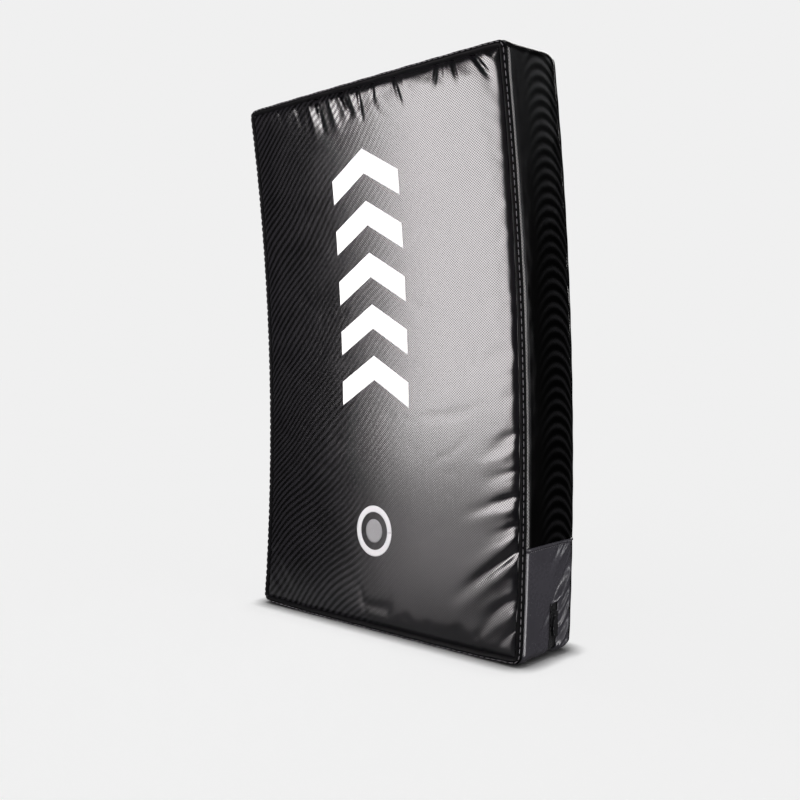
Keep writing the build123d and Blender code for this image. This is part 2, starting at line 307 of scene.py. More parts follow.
# ------------------------------------------------------------------ cloth
CLOTH_FRAMES = 20
CLOTH = {
    "quality": 6,
    "mass": 0.4,
    "tension_stiffness": 30,
    "compression_stiffness": 30,
    "shear_stiffness": 10,
    "bending_stiffness": 0.6,
    "tension_damping": 15,
    "compression_damping": 15,
    "air_damping": 3,
    "use_pressure": True,
}


def inflate(points, pressure, ease, cap, share):
    """How far a grid of cloth moves when it is filled.

    Its rim stays, its cut is larger by `ease`, and the foam behind it leaves only a share of the movement.
    """
    rows, columns = points.shape[:2]
    obj = mesh_object("cloth_trial", points, quads(rows, columns))
    group = obj.vertex_groups.new(name="pin")
    group.add(np.flatnonzero(pin_rim((rows, columns)).ravel()).tolist(), 1.0, "REPLACE")
    mod = obj.modifiers.new("cloth", "CLOTH")
    cloth = mod.settings
    for key, value in CLOTH.items():
        setattr(cloth, key, value)
    cloth.uniform_pressure_force = pressure
    cloth.vertex_group_mass = "pin"
    cloth.shrink_min = -ease
    cloth.effector_weights.gravity = 0
    mod.collision_settings.use_collision = False
    mod.point_cache.frame_start = 1
    mod.point_cache.frame_end = CLOTH_FRAMES
    for number in range(1, CLOTH_FRAMES + 1):
        SCENE.frame_set(number)
    graph = bpy.context.evaluated_depsgraph_get()
    after = np.zeros(rows * columns * 3, np.float32)
    obj.evaluated_get(graph).data.vertices.foreach_get("co", after)
    moved = after.reshape(points.shape) - points
    length = np.linalg.norm(moved, axis=-1, keepdims=True)
    moved *= share * np.minimum(1.0, cap / np.maximum(length, 1e-9))
    mesh = obj.data
    bpy.data.objects.remove(obj)
    bpy.data.meshes.remove(mesh)
    SCENE.frame_set(1)
    return moved


# ------------------------------------------------------------------ folds and puckers
def fold(u, v, start, end, width, height, bend=0.0):
    """Height of one fold: a ridge, or a valley where height is negative, fading from start to end.

    start, end, width, height and bend are in millimetres; u and v are arrays in metres.
    """
    start, end = np.array(start) * MM, np.array(end) * MM
    along = end - start
    length = np.linalg.norm(along)
    along /= length
    du, dv = u - start[0], v - start[1]
    t = (du * along[0] + dv * along[1]) / length
    across = du * -along[1] + dv * along[0] - bend * MM * np.clip(t, 0, 1) ** 2
    spread = width * MM * (0.55 + 0.75 * np.clip(t, 0, 1.2))
    q2 = (across / spread) ** 2
    fade = np.clip(1 - t, 0, 1) ** 1.4 * np.exp(-np.clip(-t, 0, None) * 6)
    return height * MM * fade * (1 - 0.7 * q2) * np.exp(-q2)


def folds(u, v, table, longer=1.0, wider=1.0, higher=1.0):
    """The sum of a table's folds, each made longer, wider or higher."""
    total = np.zeros_like(u)
    for *ends, width, height, bend in table:
        start, end = ends[:2], ends[2:]
        end = tuple(a + (b - a) * longer for a, b in zip(start, end))
        total += fold(u, v, start, end, width * wider, height * higher, bend)
    return total


# Puckers of the strike panel in mm: x and z at the seam, x and z at the inner end, width, height, bend
TOP_PUCKERS = [
    (-104, 693, -92, 650, 6.0, 1.3, -3), (-89, 693, -80, 652, 4.5, -2.6, 4),
    (-62, 693, -52, 648, 7.0, 1.2, 4), (-41, 693, -26, 662, 4.5, -2.4, 3),
    (-24, 693, -14, 660, 4.0, 0.9, 2), (-8, 693, -4, 655, 3.4, -2.0, 2), (21, 693, 20, 674, 3.2, -1.5, 0),
    (57, 693, 66, 660, 3.4, -1.9, 2), (74, 693, 80, 668, 6.0, 0.6, 0), (130, 693, 125, 668, 3.8, -1.8, -1),
    (143, 693, 143, 672, 4.0, 0.7, 0), (154, 693, 160, 668, 3.4, -1.8, 1),
    (184, 693, 209, 664, 4.2, -2.2, -2), (199, 693, 219, 674, 4.0, 0.9, 0),
    (-132, 693, -122, 664, 5.0, -0.9, 2), (-168, 693, -158, 668, 6.0, -0.8, 3),
]
SIDE_PUCKERS = [
    (223, 262, 180, 245, 6.0, -0.8, 0), (223, 243, 172, 221, 8.0, 0.9, 0),
    (223, 220, 182, 206, 5.0, -1.2, 0), (223, 204, 178, 188, 6.0, 0.6, 0),
    (224, 191, 156, 167, 5.5, -1.7, 2), (224, 176, 160, 154, 7.0, 1.1, 0),
    (224, 159, 182, 140, 5.0, -1.5, 1), (225, 145, 156, 104, 7.0, 1.5, 2),
    (226, 131, 150, 78, 6.0, -3.4, 3), (225, 115, 154, 63, 8.0, 1.8, 3), (225, 78, 170, 43, 7.0, -1.7, 2),
    (225, 60, 180, 26, 7.0, 1.2, 2), (224, 44, 198, 16, 5.0, -1.5, 1), (224, 330, 190, 320, 6.0, -0.6, 0),
    (224, 420, 196, 414, 6.0, -0.5, 0),
]
LEFT_PUCKERS = [(-224, z, -224 + reach, z - drop, 6.0, height, 0) for z, reach, drop, height in (
    (640, 30, 14, -0.8), (590, 26, 10, -0.6), (510, 24, 4, -0.5), (420, 26, 2, -0.6), (330, 24, -2, -0.5),
    (250, 28, -8, -0.7), (180, 34, -12, -0.9), (120, 38, -18, -1.1), (70, 40, -22, -1.2),
)]
BOTTOM_PUCKERS = [(x, 7, x + lean, 7 + reach, 5.0, height, 0) for x, lean, reach, height in (
    (-190, 18, 30, -1.3), (-160, 10, 24, -1.0), (-120, 8, 26, -0.8), (-70, 4, 22, -0.7), (-20, 2, 20, -0.8),
    (40, -2, 22, -0.7), (95, -6, 24, -0.9), (140, -10, 26, -1.0), (180, -14, 24, -1.1),
)]

# ------------------------------------------------------------------ strike and back panels
PANEL_TUCK = 7.5 * MM
PANEL_HALF = HALF_WIDTH - PANEL_TUCK
PANEL_TALL = HEIGHT - 2 * PANEL_TUCK
COARSE = 4.0 * MM
FINE = 2.0 * MM
COVER = 1.5 * MM
PANEL_EDGE_DEPTH = 1.7 * MM
PANEL_RISE = 2.0 * MM
PANEL_RISE_REACH = 4.5 * MM
PANEL_CROWN = 1.2 * MM
PANEL_FILL = {"pressure": 2.5, "ease": 0.012, "cap": 6 * MM, "share": 0.22}


def panel_grid(step):
    """The panel's (x, z) grid; a finer step divides the coarse one, so that both cover the same stretch."""
    finer = int(round(COARSE / step))
    columns = int(round(2 * PANEL_HALF / COARSE)) * finer + 1
    rows = int(round(PANEL_TALL / COARSE)) * finer + 1
    x = np.linspace(-PANEL_HALF, PANEL_HALF, columns)
    z = np.linspace(PANEL_TUCK, HEIGHT - PANEL_TUCK, rows)
    return np.meshgrid(x, z)


def panel_points(x, z, front):
    """The panel before it is filled: tucked under the bindings, then rising to its crown."""
    edge = np.minimum.reduce([PANEL_HALF - np.abs(x), z - PANEL_TUCK, HEIGHT - PANEL_TUCK - z])
    rise = 1 - np.exp(-(np.clip(edge, 0, None) / PANEL_RISE_REACH) ** 1.3)
    crown = np.clip(1 - (x / PANEL_HALF) ** 2, 0, 1)
    crown = crown * np.clip(1 - ((z - MIDDLE_Z) / (PANEL_TALL / 2)) ** 4, 0, 1)
    depth = PANEL_EDGE_DEPTH - PANEL_RISE * rise - PANEL_CROWN * crown
    y = face_y(z, depth if front else THICKNESS - depth)
    return slump(np.stack([x, y, z], axis=-1))


def panel_out(z, front):
    """The direction straight out of the strike face, or of the back, at each height."""
    lean = np.arcsin((z - MIDDLE_Z) / FACE_RADIUS)
    side = -1 if front else 1
    return np.stack([np.zeros_like(z), side * np.cos(lean), side * np.sin(lean)], axis=-1)


def make_panel(name, front, pucker_tables):
    """A panel filled on the coarse grid, then puckered on the fine one."""
    x, z = panel_grid(COARSE)
    coarse = panel_points(x, z, front)
    filled = inflate(coarse if front else coarse[:, ::-1], **PANEL_FILL)
    if not front:
        filled = filled[:, ::-1]
    x, z = panel_grid(FINE)
    fine = panel_points(x, z, front) + enlarge(filled, *x.shape)
    height = sum(folds(x, z, table, *scales) for table, *scales in pucker_tables)
    fine += height[..., None] * panel_out(z, front)
    faces = quads(*x.shape)
    obj = mesh_object(name, fine, faces if front else faces[:, ::-1], np.stack([x, z], axis=-1))
    thicken(obj, COVER)
    return obj, fine


front_panel, front_surface = make_panel(
    "strike_panel",
    True,
    [(TOP_PUCKERS, 1.35, 1.15, 1.7), (SIDE_PUCKERS, 1.4, 1.45, 0.78), (LEFT_PUCKERS,), (BOTTOM_PUCKERS,)],
)


# ------------------------------------------------------------------ boxing
BOXING_NEAR = 5.0 * MM
BOXING_FAR = THICKNESS - 1.8 * MM
BOXING_EDGE_INSET = 3.3 * MM
BOXING_LIP = 4.4 * MM
NEAR_LIP_REACH = 5.2 * MM
FAR_LIP_REACH = 4.5 * MM
BOXING_DISH = 0.9 * MM
BOXING_DISH_REACH = 20.0 * MM
SEAM_LAP = 1.0 * MM
WELT_RISE = 2.3 * MM
WELT_IN = 2.2 * MM
WELT_REACH = 1.8 * MM
WELT_SPAN = 8.0 * MM
SIDE_FILL = {"pressure": 1.5, "ease": 0.006, "cap": 1.5 * MM, "share": 0.6}


def boxing_points(s, depth):
    """The side strip before it is filled: it rolls out of the seam at each edge and dishes between them."""
    near = np.clip(depth - BOXING_NEAR, 0, None)
    far = np.clip(BOXING_FAR - depth, 0, None)
    slope = np.clip(near / NEAR_LIP_REACH, 0, 1)
    rise = (1.35 * slope - 0.35 * slope ** 3) * (1 - np.exp(-((far / FAR_LIP_REACH) ** 1.2)))
    dish = 1 - bell(np.minimum(near, far) / BOXING_DISH_REACH)
    inset = BOXING_EDGE_INSET - BOXING_LIP * rise + BOXING_DISH * dish
    return skin(s, inset, depth)


def outward(s, depth):
    """The direction straight out of the side strip."""
    _, out = walk(s)
    return np.stack([out[..., 0], np.zeros_like(out[..., 0]), out[..., 1]], axis=-1)


def even(low, high, step):
    """Evenly spaced values from low to high, about a step apart."""
    return np.linspace(low, high, max(2, int(round((high - low) / step)) + 1))


def stretches(start, *parts):
    """Values from start over stretches that follow each other, each given by its end and step."""
    values = []
    for end, step in parts:
        values += even(start, end, step)[:-1].tolist()
        start = end
    return np.array(values + [start])


def boxing_depths(finer):
    """Evenly spaced depths across the strip, on a grid so many times finer than the coarse one."""
    span = BOXING_FAR - BOXING_NEAR
    t = np.linspace(0, 1, int(round(span / COARSE)) * finer + 1)
    return BOXING_NEAR + span * t


def make_upper_boxing():
    """The woven strip over the top and both sides, filled on a coarse grid."""
    low, high = RIGHT_SEAM - SEAM_LAP, LEFT_SEAM + SEAM_LAP
    count = int(round((high - low) / (2 * COARSE)))
    depth, s = np.meshgrid(boxing_depths(1), np.linspace(low, high, count + 1))
    coarse = boxing_points(s, depth)
    filled = inflate(coarse, **SIDE_FILL)
    depth, s = np.meshgrid(boxing_depths(5), np.linspace(low, high, count * 4 + 1))
    fine = boxing_points(s, depth) + enlarge(filled, *s.shape)
    obj = mesh_object("upper_side_strip", fine, quads(*s.shape), np.stack([s, depth], axis=-1))
    thicken(obj, COVER)
    return obj


LANE_NEAR, LANE_FAR = ZIP_DEPTH - LANE / 2, ZIP_DEPTH + LANE / 2
LANE_END = SIDE_START + LANE_TOP - BOTTOM_CORNER
HEM = 1.6 * MM
HEM_REACH = 2.2 * MM
ZIP_FOLD_GAIN = 2.6
# The folds are half as high this near the lane, and flat at its edge, where the slider passes
CALM_REACH = 6.0 * MM
STILL_REACH = 1.8 * MM

# Folds that fan out of the zipper's end on the right side, in mm, with depth in the place of x
ZIP_FOLDS = [
    (57, 61, 101, 122, 4.6, -2.4, 2), (62, 60, 104, 112, 3.0, 2.0, 1), (69, 50, 104, 92, 3.4, -1.9, 1),
    (68, 30, 104, 78, 3.0, 1.7, 1), (69, 14, 104, 62, 3.6, -1.6, 1), (66, 2, 102, 46, 3.4, 1.6, 1),
    (78, 2, 102, 30, 3.6, -1.3, 0), (82, 126, 48, 86, 5.0, 0.9, 0), (70, 127, 40, 94, 4.5, -0.9, 0),
    (93, 124, 62, 84, 4.5, -0.8, 0), (30, 4, 44, 30, 5.0, -0.4, 0),
]


def make_lower_boxing():
    """The smooth strip round the bottom: open along the zipper's lane, with a hem, folds and end welts."""
    low, high = LEFT_SEAM - OUTLINE_LENGTH - SEAM_LAP, RIGHT_SEAM + SEAM_LAP
    s_lines = stretches(
        low, (low + WELT_SPAN, FINE / 3), (-LANE_END, FINE), (0, FINE), (LANE_END, FINE / 2),
        (high - WELT_SPAN, FINE / 2), (high, FINE / 3),
    )
    lip = BOXING_NEAR + 3 * FINE
    d_lines = stretches(
        BOXING_NEAR, (lip, FINE / 3), (LANE_NEAR, FINE), (LANE_FAR, FINE), (BOXING_FAR, FINE / 2)
    )
    depth, s = np.meshgrid(d_lines, s_lines)
    points = boxing_points(s, depth)
    flat, _ = walk(s)
    on_right = (flat[..., 0] > 0) & (s > 0)
    height = folds(depth, flat[..., 1], ZIP_FOLDS) * on_right
    beside = np.maximum(np.abs(depth - ZIP_DEPTH) - LANE / 2, np.abs(s) - LANE_END)
    room = np.clip(beside, 0, None)
    hem = bell(room / HEM_REACH)
    calm = 1 - 0.5 * (bell(room / CALM_REACH) + bell(room / STILL_REACH))
    welt = WELT_RISE * bell((np.minimum(high - s, s - low) - WELT_IN) / WELT_REACH)
    points += (ZIP_FOLD_GAIN * height * calm - HEM * hem + welt)[..., None] * outward(s, depth)
    faces = quads(*s.shape)
    middle_s = s.ravel()[faces].mean(axis=1)
    middle_d = depth.ravel()[faces].mean(axis=1)
    lane = (np.abs(middle_s) < LANE_END) & (np.abs(middle_d - ZIP_DEPTH) < LANE / 2)
    obj = mesh_object("lower_side_strip", points, faces[~lane], np.stack([s, depth], axis=-1))
    edit_mesh(obj, drop_loose)
    thicken(obj, COVER)
    return obj


upper_boxing = make_upper_boxing()
lower_boxing = make_lower_boxing()

# ------------------------------------------------------------------ bindings and their stitches
BAND_THICKNESS = 1.1 * MM
BAND_STEPS = 24
BAND_DIVE = 2.4 * MM
BAND_CROWN = 0.5 * MM
BAND_WAVE = 0.25 * MM
BAND_WAVE_PITCH = 41.0 * MM
BAND_UV_WIDTH = 15.0 * MM
STITCH_PITCH = 8.6 * MM
STITCH_GROOVE = 0.5 * MM
STITCH_GROOVE_WIDTH = 0.09
STITCH_DIMPLE = 0.45 * MM


def band_profile(t, lift, band):
    """(inset, depth) across a band, from the face (t=0) round the edge to the side (t=1)."""
    roll, face, side, _, setback = band
    flat = face - roll
    arc = roll * math.pi / 2
    u = t * (face + side - 2 * roll + arc)
    angle = np.clip((u - flat) / roll, 0, math.pi / 2)
    inset = roll - roll * np.sin(angle) + np.clip(flat - u, 0, None)
    depth = roll - roll * np.cos(angle) + np.clip(u - flat - arc, 0, None)
    back = setback - lift
    inset = inset + back * np.sin(angle) + BAND_DIVE * np.clip((t - 0.78) / 0.22, 0, 1) ** 2
    return inset, depth + back * np.cos(angle) + BAND_DIVE * np.clip((0.34 - t) / 0.34, 0, 1) ** 1.5


def stitch_wave(s):
    """1 in the middle of a stitch and 0 at the holes between stitches."""
    return np.abs(np.sin(math.pi * s / band_pitch())) ** 0.6


def band_pitch():
    """The stitch pitch that divides the outline evenly."""
    return OUTLINE_LENGTH / round(OUTLINE_LENGTH / STITCH_PITCH)


def make_band(name, front):
    """An edge binding: a folded tape all round the outline, drawn in at its stitches."""
    band = FRONT_BAND if front else BACK_BAND
    per_stitch = 5
    rows = int(round(OUTLINE_LENGTH / band_pitch())) * per_stitch
    s = np.arange(rows) * OUTLINE_LENGTH / rows
    t = np.linspace(0, 1, BAND_STEPS + 1)
    t = np.concatenate([t, t[::-1]])
    top = np.arange(len(t)) <= BAND_STEPS
    s, t = np.meshgrid(s, t, indexing="ij")
    middle = bell((t - band[3]) / STITCH_GROOVE_WIDTH)
    dimple = STITCH_DIMPLE * (1 - stitch_wave(s)) * bell((t - band[3]) / 0.2)
    crown = BAND_CROWN * np.sin(np.clip(t, 0, 1) * math.pi) ** 0.5
    wave = BAND_WAVE * np.sin(s * 2 * math.pi / BAND_WAVE_PITCH) * np.sin(t * math.pi)
    lift = np.where(top[None, :], crown + wave - STITCH_GROOVE * middle - dimple, -BAND_THICKNESS)
    inset, depth = band_profile(t, lift, band)
    if not front:
        depth = THICKNESS - depth
    points = skin(s, inset, depth)
    faces = quads(*s.shape, wrap_rows=True, wrap_columns=True)
    if front:
        faces = faces[:, ::-1]
    return mesh_object(name, points, faces, np.stack([s, t * BAND_UV_WIDTH], axis=-1))


def capsule(start, end, radius, bow, out, sides=6, rings=5):
    """A thread stitch from start to end, bowed outwards."""
    start, end, out = (np.asarray(a, float) for a in (start, end, out))
    along = (end - start) / np.linalg.norm(end - start)
    across = np.cross(along, out)
    angle = np.linspace(0, 2 * math.pi, sides, endpoint=False)
    points = []
    for f in np.linspace(0, 1, rings):
        width = radius * (0.35 + 0.65 * math.sin(math.pi * min(max(f, 0.02), 0.98)) ** 0.5)
        centre = start + (end - start) * f + out * bow * (math.sin(math.pi * f) - 0.35)
        points.append(centre + width * (np.cos(angle)[:, None] * out + np.sin(angle)[:, None] * across))
    points = np.concatenate(points + [[start - out * bow * 0.6], [end - out * bow * 0.6]])
    faces = quads(rings, sides, wrap_columns=True).tolist()
    first, last = rings * sides, rings * sides + 1
    triangles = [[first, (k + 1) % sides, k] for k in range(sides)]
    base = (rings - 1) * sides
    triangles += [[last, base + k, base + (k + 1) % sides] for k in range(sides)]
    return points, faces + triangles


def stitch_object(name, ends, radius, bow):
    """One object of many thread stitches; ends holds (start, end, out)."""
    points, faces, count = [], [], 0
    for start, end, out in ends:
        p, stitch = capsule(start, end, radius, bow, out)
        points.append(p)
        faces += [[i + count for i in face] for face in stitch]
        count += len(p)
    return mesh_object(name, np.concatenate(points), faces)


def band_stitches(name, front):
    """The row of stitches along an edge binding."""
    band = FRONT_BAND if front else BACK_BAND
    pitch = band_pitch()
    count = int(round(OUTLINE_LENGTH / pitch))
    ends = []
    for k in range(count):
        middle = np.array([k + 0.5]) * pitch
        pair = [middle - 0.36 * pitch, middle + 0.36 * pitch]
        inset, depth = band_profile(np.array([band[3]]), np.array([0.1 * MM]), band)
        depth = depth if front else THICKNESS - depth
        start, end = (skin(s, inset, depth)[0] for s in pair)
        _, out = walk(middle)
        side = -1 if front else 1
        direction = np.array([out[0, 0], side, out[0, 1]])
        ends.append((start, end, direction / np.linalg.norm(direction)))
    return stitch_object(name, ends, 0.5 * MM, 0.35 * MM)


def seam_stitches():
    """Two short rows that join the lower strip to the upper one."""
    ends = []
    for seam, side in ((RIGHT_SEAM, -1), (LEFT_SEAM, 1)):
        for k in range(int((BOXING_FAR - BOXING_NEAR - 8 * MM) / (4 * MM))):
            depth = BOXING_NEAR + 5 * MM + k * 4 * MM + np.array([0.0, 3.0 * MM])
            s = np.full(2, seam + side * 3.6 * MM)
            points = boxing_points(s, depth) + 0.35 * MM * outward(s, depth)
            ends.append((points[0], points[1], outward(s, depth)[0]))
    return stitch_object("side_seam_stitches", ends, 0.4 * MM, 0.3 * MM)


seam_thread = seam_stitches()
front_band = make_band("front_edge_band", True)
back_band = make_band("back_edge_band", False)
front_stitches = band_stitches("front_edge_stitches", True)
back_stitches = band_stitches("back_edge_stitches", False)


# ------------------------------------------------------------------ the back of the cover
BACK_PUCKERS = [(x, z, x + 0.08 * -x, z + (28 if z < 350 else -28), 5.0, -0.9, 0)
    for z in (7, 693) for x in (-196, -150, -118, -72, -28, 22, 61, 104, 149, 190)]
BACK_PUCKERS += [(x, z, 0.86 * x, z + 0.03 * (350 - z), 6.0, -0.7, 0)
    for x in (-225, 225) for z in (60, 104, 171, 240, 318, 402, 470, 548, 611, 655)]
back_panel, _ = make_panel("back_skin", False, [(BACK_PUCKERS,)])


# ------------------------------------------------------------------ printed marks on the strike panel
PRINT = 0.12 * MM
MARK_X = -8.0 * MM
CHEVRON_COUNT = 5
CHEVRON_BOTTOM = 285.0 * MM
CHEVRON_PITCH = 66.0 * MM
CHEVRON_WIDTH = 122.0 * MM
CHEVRON_RISE = 34.0 * MM
CHEVRON_STROKE = 31.0 * MM
ROUNDEL_Z = 126.0 * MM
ROUNDEL_RADII = {"roundel_ring_print": (24.0 * MM, 32.0 * MM), "roundel_disc_print": (0.0, 15.0 * MM)}


def on_panel(x, z, lift):
    """Points on the finished strike panel, lifted off it a little."""
    rows, columns = front_surface.shape[:2]
    column = np.clip((x + PANEL_HALF) / (2 * PANEL_HALF) * (columns - 1), 0, columns - 1.001)
    row = np.clip((z - PANEL_TUCK) / PANEL_TALL * (rows - 1), 0, rows - 1.001)
    i, j = row.astype(int), column.astype(int)
    f, g = (row - i)[..., None], (column - j)[..., None]
    near = front_surface[i, j] * (1 - g) + front_surface[i, j + 1] * g
    far = front_surface[i + 1, j] * (1 - g) + front_surface[i + 1, j + 1] * g
    return near * (1 - f) + far * f + lift * panel_out(z, True)


def make_print(name, grids):
    parts = [(on_panel(x, z, PRINT).reshape(-1, 3), quads(*x.shape)) for x, z in grids]
    points, faces = join_copies(parts)
    uv = np.concatenate([np.stack([x, z], axis=-1).reshape(-1, 2) for x, z in grids])
    obj = mesh_object(name, points, faces, uv)
    thicken(obj, 0.1 * MM)
    return obj


def chevron_grids():
    u, v = np.meshgrid(np.linspace(-1, 1, 63), np.linspace(0, 1, 17))
    for k in range(CHEVRON_COUNT):
        foot = CHEVRON_BOTTOM + k * CHEVRON_PITCH
        yield MARK_X + u * CHEVRON_WIDTH / 2, foot + CHEVRON_RISE * (1 - np.abs(u)) + v * CHEVRON_STROKE


def ring_grid(inside, outside):
    angle, radius = np.meshgrid(np.linspace(0, -2 * math.pi, 97), np.linspace(inside, outside, 8))
    return MARK_X + radius * np.cos(angle), ROUNDEL_Z + radius * np.sin(angle)


chevrons = make_print("chevron_print", list(chevron_grids()))
roundels = {name: make_print(name, [ring_grid(*radii)]) for name, radii in ROUNDEL_RADII.items()}


# ------------------------------------------------------------------ zipper
TAPE_INSET = 3.6 * MM
TAPE_THICKNESS = 0.8 * MM
TAPE_HALF = 13.5 * MM
TAPE_GAP = 0.6 * MM
TOOTH_PITCH = 1.5 * MM
TOOTH_RADIUS = 0.55 * MM
COIL_REACH = 3.1 * MM
TAPE_END = LANE_END + 3.0 * MM


def make_tape(name, side):
    s = even(-TAPE_END, TAPE_END, 2 * FINE)[:, None] + np.zeros(7)
    across = np.linspace(TAPE_GAP, TAPE_HALF, 7)
    depth = (ZIP_DEPTH + side * across)[None, :] + 0 * s
    points = skin(s, TAPE_INSET, depth)
    faces = quads(*s.shape)
    obj = mesh_object(name, points, faces if side > 0 else faces[:, ::-1], np.stack([s, depth], axis=-1))
    thicken(obj, TAPE_THICKNESS)
    return obj


def make_coil(name, side):
    """A row of coil turns: each one crosses from its tape to the middle and back, a half turn apart."""
    start = -TAPE_END + 8 * MM
    count = int((2 * TAPE_END - 16 * MM) / TOOTH_PITCH)
    middles = start + (np.arange(count) + (0.25 if side > 0 else 0.75)) * TOOTH_PITCH
    reach = np.array([COIL_REACH, -0.2 * MM])
    ends = []
    for s in middles:
        start_point, end_point = skin(
            np.array([s - 0.12 * TOOTH_PITCH, s + 0.12 * TOOTH_PITCH]),
            TAPE_INSET - TOOTH_RADIUS * 1.1,
            ZIP_DEPTH + side * reach,
        )
        _, out = walk(np.array([s]))
        ends.append((start_point, end_point, np.array([out[0, 0], 0.0, out[0, 1]])))
    return stitch_object(name, ends, TOOTH_RADIUS, 0.25 * MM)


ZIP_HALVES = (("front", -1), ("back", 1))
zip_pieces = [(make_tape(f"tape_{half}_cloth", side), f"zipper_tape_{half}", "zip_tape")
              for half, side in ZIP_HALVES]
zip_pieces += [(make_coil(f"coil_{half}_turns", side), f"zipper_coil_{half}", "zip_coil")
               for half, side in ZIP_HALVES]


# ------------------------------------------------------------------ straps and grip on the back
HANDLES = {
    "lower_strap": (260.0 * MM, 105.0 * MM, 52.0 * MM, 50.0 * MM),
    "upper_strap": (415.0 * MM, 105.0 * MM, 52.0 * MM, 50.0 * MM),
    "grip_handle": (570.0 * MM, 62.0 * MM, 40.0 * MM, 38.0 * MM),
}
BACK_DEPTH = THICKNESS - 1.9 * MM
WEB_MIDDLE = 3.4 * MM
WEB_THICKNESS = 2.4 * MM
TONGUE = 34.0 * MM
SLEEVE_SPAN = 0.62
SLEEVE_THICKNESS = 10.6 * MM
SLEEVE_MARGIN = 4.6 * MM
PATCH_LENGTH = 46.0 * MM
PATCH_MARGIN = 8.0 * MM
PATCH_CORNER = 6.0 * MM
FOUR_CORNERS = ((-1, -1), (1, -1), (1, 1), (-1, 1))


def back_frame(z):
    """Origin, outward and upward directions on the back of the cover at a height."""
    lean = math.asin((z - MIDDLE_Z) / (FACE_RADIUS + BACK_DEPTH))
    origin = np.array([0.0, face_y(z, BACK_DEPTH), z])
    out = np.array([0, math.cos(lean), math.sin(lean)])
    return origin, out, np.array([0, -math.sin(lean), math.cos(lean)])


def bow_line(x, half, rise):
    """Height of a strap's middle above the back at x."""
    radius = (half ** 2 + rise ** 2) / (2 * rise)
    bow = np.sqrt(np.clip(radius ** 2 - x ** 2, 1e-9, None)) - radius + rise
    bow = np.where(np.abs(x) < half, bow, -(np.abs(x) - half) * 2)
    soft = 1.6 * MM
    return WEB_MIDDLE + soft * np.logaddexp(0, bow / soft) - soft * math.log(2) * np.exp(-np.abs(bow) / soft)


def along_bow(half, rise, x):
    """Heights and outward directions of a strap's middle line, in (x, height)."""
    height = bow_line(x, half, rise)
    slope = (bow_line(x + 0.1 * MM, half, rise) - bow_line(x - 0.1 * MM, half, rise)) / (0.2 * MM)
    size = np.sqrt(1 + slope ** 2)
    return height, np.stack([-slope / size, 1 / size], axis=-1)


def strap_section(name, z, half, rise, x, section):
    """A closed tube along a strap; section(k) gives (across, out) points for station k."""
    origin, out, up = back_frame(z)
    height, normal = along_bow(half, rise, x)
    side = np.array([1.0, 0, 0])
    rings, lengths = [], np.concatenate([[0], np.cumsum(np.hypot(np.diff(x), np.diff(height)))])
    for k in range(len(x)):
        across, lift = section(k)
        centre = origin + x[k] * side + height[k] * out
        off = normal[k, 0] * side + normal[k, 1] * out
        rings.append(centre + across[:, None] * up + lift[:, None] * off)
    points = np.array(rings)
    count = points.shape[1]
    faces = quads(len(x), count, wrap_columns=True).tolist()
    faces += [list(range(count)), [(len(x) - 1) * count + i for i in range(count)][::-1]]
    widths = np.array([section(k)[0] for k in range(len(x))])
    obj = mesh_object(name, points, faces, np.stack([lengths[:, None] + 0 * widths, widths], axis=-1))
    edit_mesh(obj, outward_faces)
    return obj


def rounded(half_width, half_thickness, power, count):
    angle = np.linspace(0, 2 * math.pi, count, endpoint=False)
    c, s = np.cos(angle), np.sin(angle)
    return half_width * np.sign(c) * np.abs(c) ** power, half_thickness * np.sign(s) * np.abs(s) ** power


def make_webbing(name, z, half, rise, width):
    end = half + TONGUE
    tongue, bow = half + 8 * MM, half + 7 * MM
    stretches = ((-end, -tongue, 14), (-bow, bow, 110), (tongue, end, 14))
    x = np.concatenate([np.linspace(*stretch) for stretch in stretches])
    across, lift = rounded(width / 2, WEB_THICKNESS / 2, 0.35, 36)
    return strap_section(f"{name}_web", z, half, rise, x, lambda k: (across, lift))


def make_sleeve(name, z, half, rise, width):
    reach = SLEEVE_SPAN * half
    x = reach * np.sin(np.linspace(-math.pi / 2, math.pi / 2, 71))
    t = x / reach

    def section(k):
        end = max(1 - t[k] ** 2, 0) ** 0.5
        full = min(1.0, end * 2.6) ** 0.8
        quilt = 0.10 * math.cos(t[k] * 4 * math.pi) * full
        half_thick = (WEB_THICKNESS / 2 + 0.8 * MM) * (1 - full)
        half_thick += SLEEVE_THICKNESS / 2 * (0.88 + quilt) * full
        half_wide = (width / 2 + SLEEVE_MARGIN) * (0.97 + 0.03 * full)
        across, lift = rounded(half_wide, 1.0, 0.42, 44)
        puff = 0.32 + 0.68 * np.clip(1 - (np.abs(across) / half_wide) ** 6, 0, 1) ** 0.5
        return across, lift * half_thick * puff

    return strap_section(f"{name}_pad", z, half, rise, x, section)


def on_back(z, x, v, h):
    """A point at x across, v up and h out from the back of the cover, beside a handle."""
    origin, out, up = back_frame(z)
    return origin + np.array([x, 0, 0]) + v * up + h * out


def dashes(points, closed, pitch, out):
    """Stitch ends evenly spaced along a line of points."""
    points = np.array(points + points[:1] if closed else points)
    lengths = np.concatenate([[0], np.cumsum(np.linalg.norm(np.diff(points, axis=0), axis=1))])
    count = max(1, int(round(lengths[-1] / pitch)))
    stops = np.linspace(0, lengths[-1], count + 1)
    inner = 0.14 * lengths[-1] / count
    at = lambda d: np.array([np.interp(d, lengths, points[:, k]) for k in range(3)])
    return [(at(a + inner), at(b - inner), out) for a, b in zip(stops, stops[1:])]


